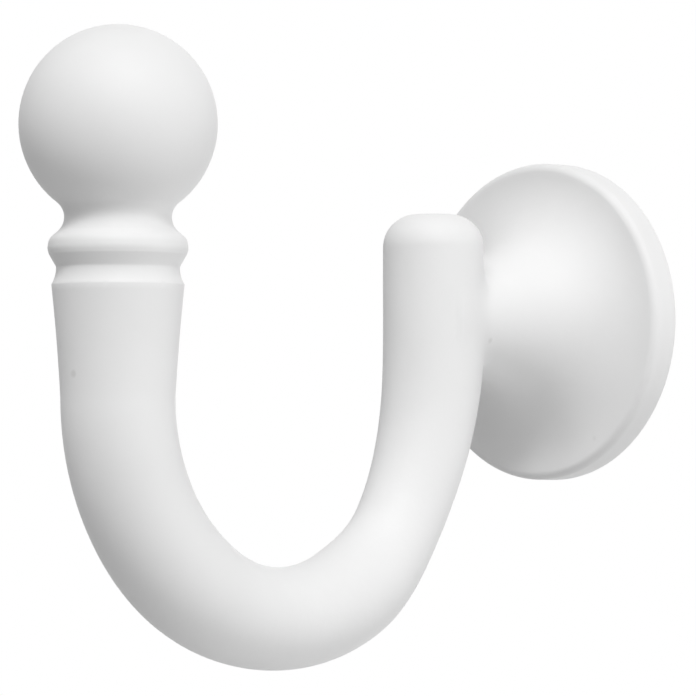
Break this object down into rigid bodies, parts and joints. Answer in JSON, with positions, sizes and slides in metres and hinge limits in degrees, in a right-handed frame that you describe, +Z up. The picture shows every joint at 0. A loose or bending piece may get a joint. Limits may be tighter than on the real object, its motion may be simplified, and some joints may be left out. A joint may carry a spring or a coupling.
{
  "type": "coat hook",
  "caption": "White one-piece wall hook: a round rose flares into an arm that makes a U-bend up to a grooved collar and a ball, with a tapped hole in its back for a hidden stud.",
  "frame": {"origin": "centre of the rose's back, on the stud hole's axis, in the wall plane", "axes": "+Y points into the wall along the stud hole, the hook stands out along -Y, +Z is up"},
  "size_m": [0.03, 0.065, 0.0563],
  "materials": {
    "white_coat": "satin white powder coat over a zinc die casting"
  },
  "bodies": {
    "root": {"hook": "white_coat"}
  },
  "joints": []
}
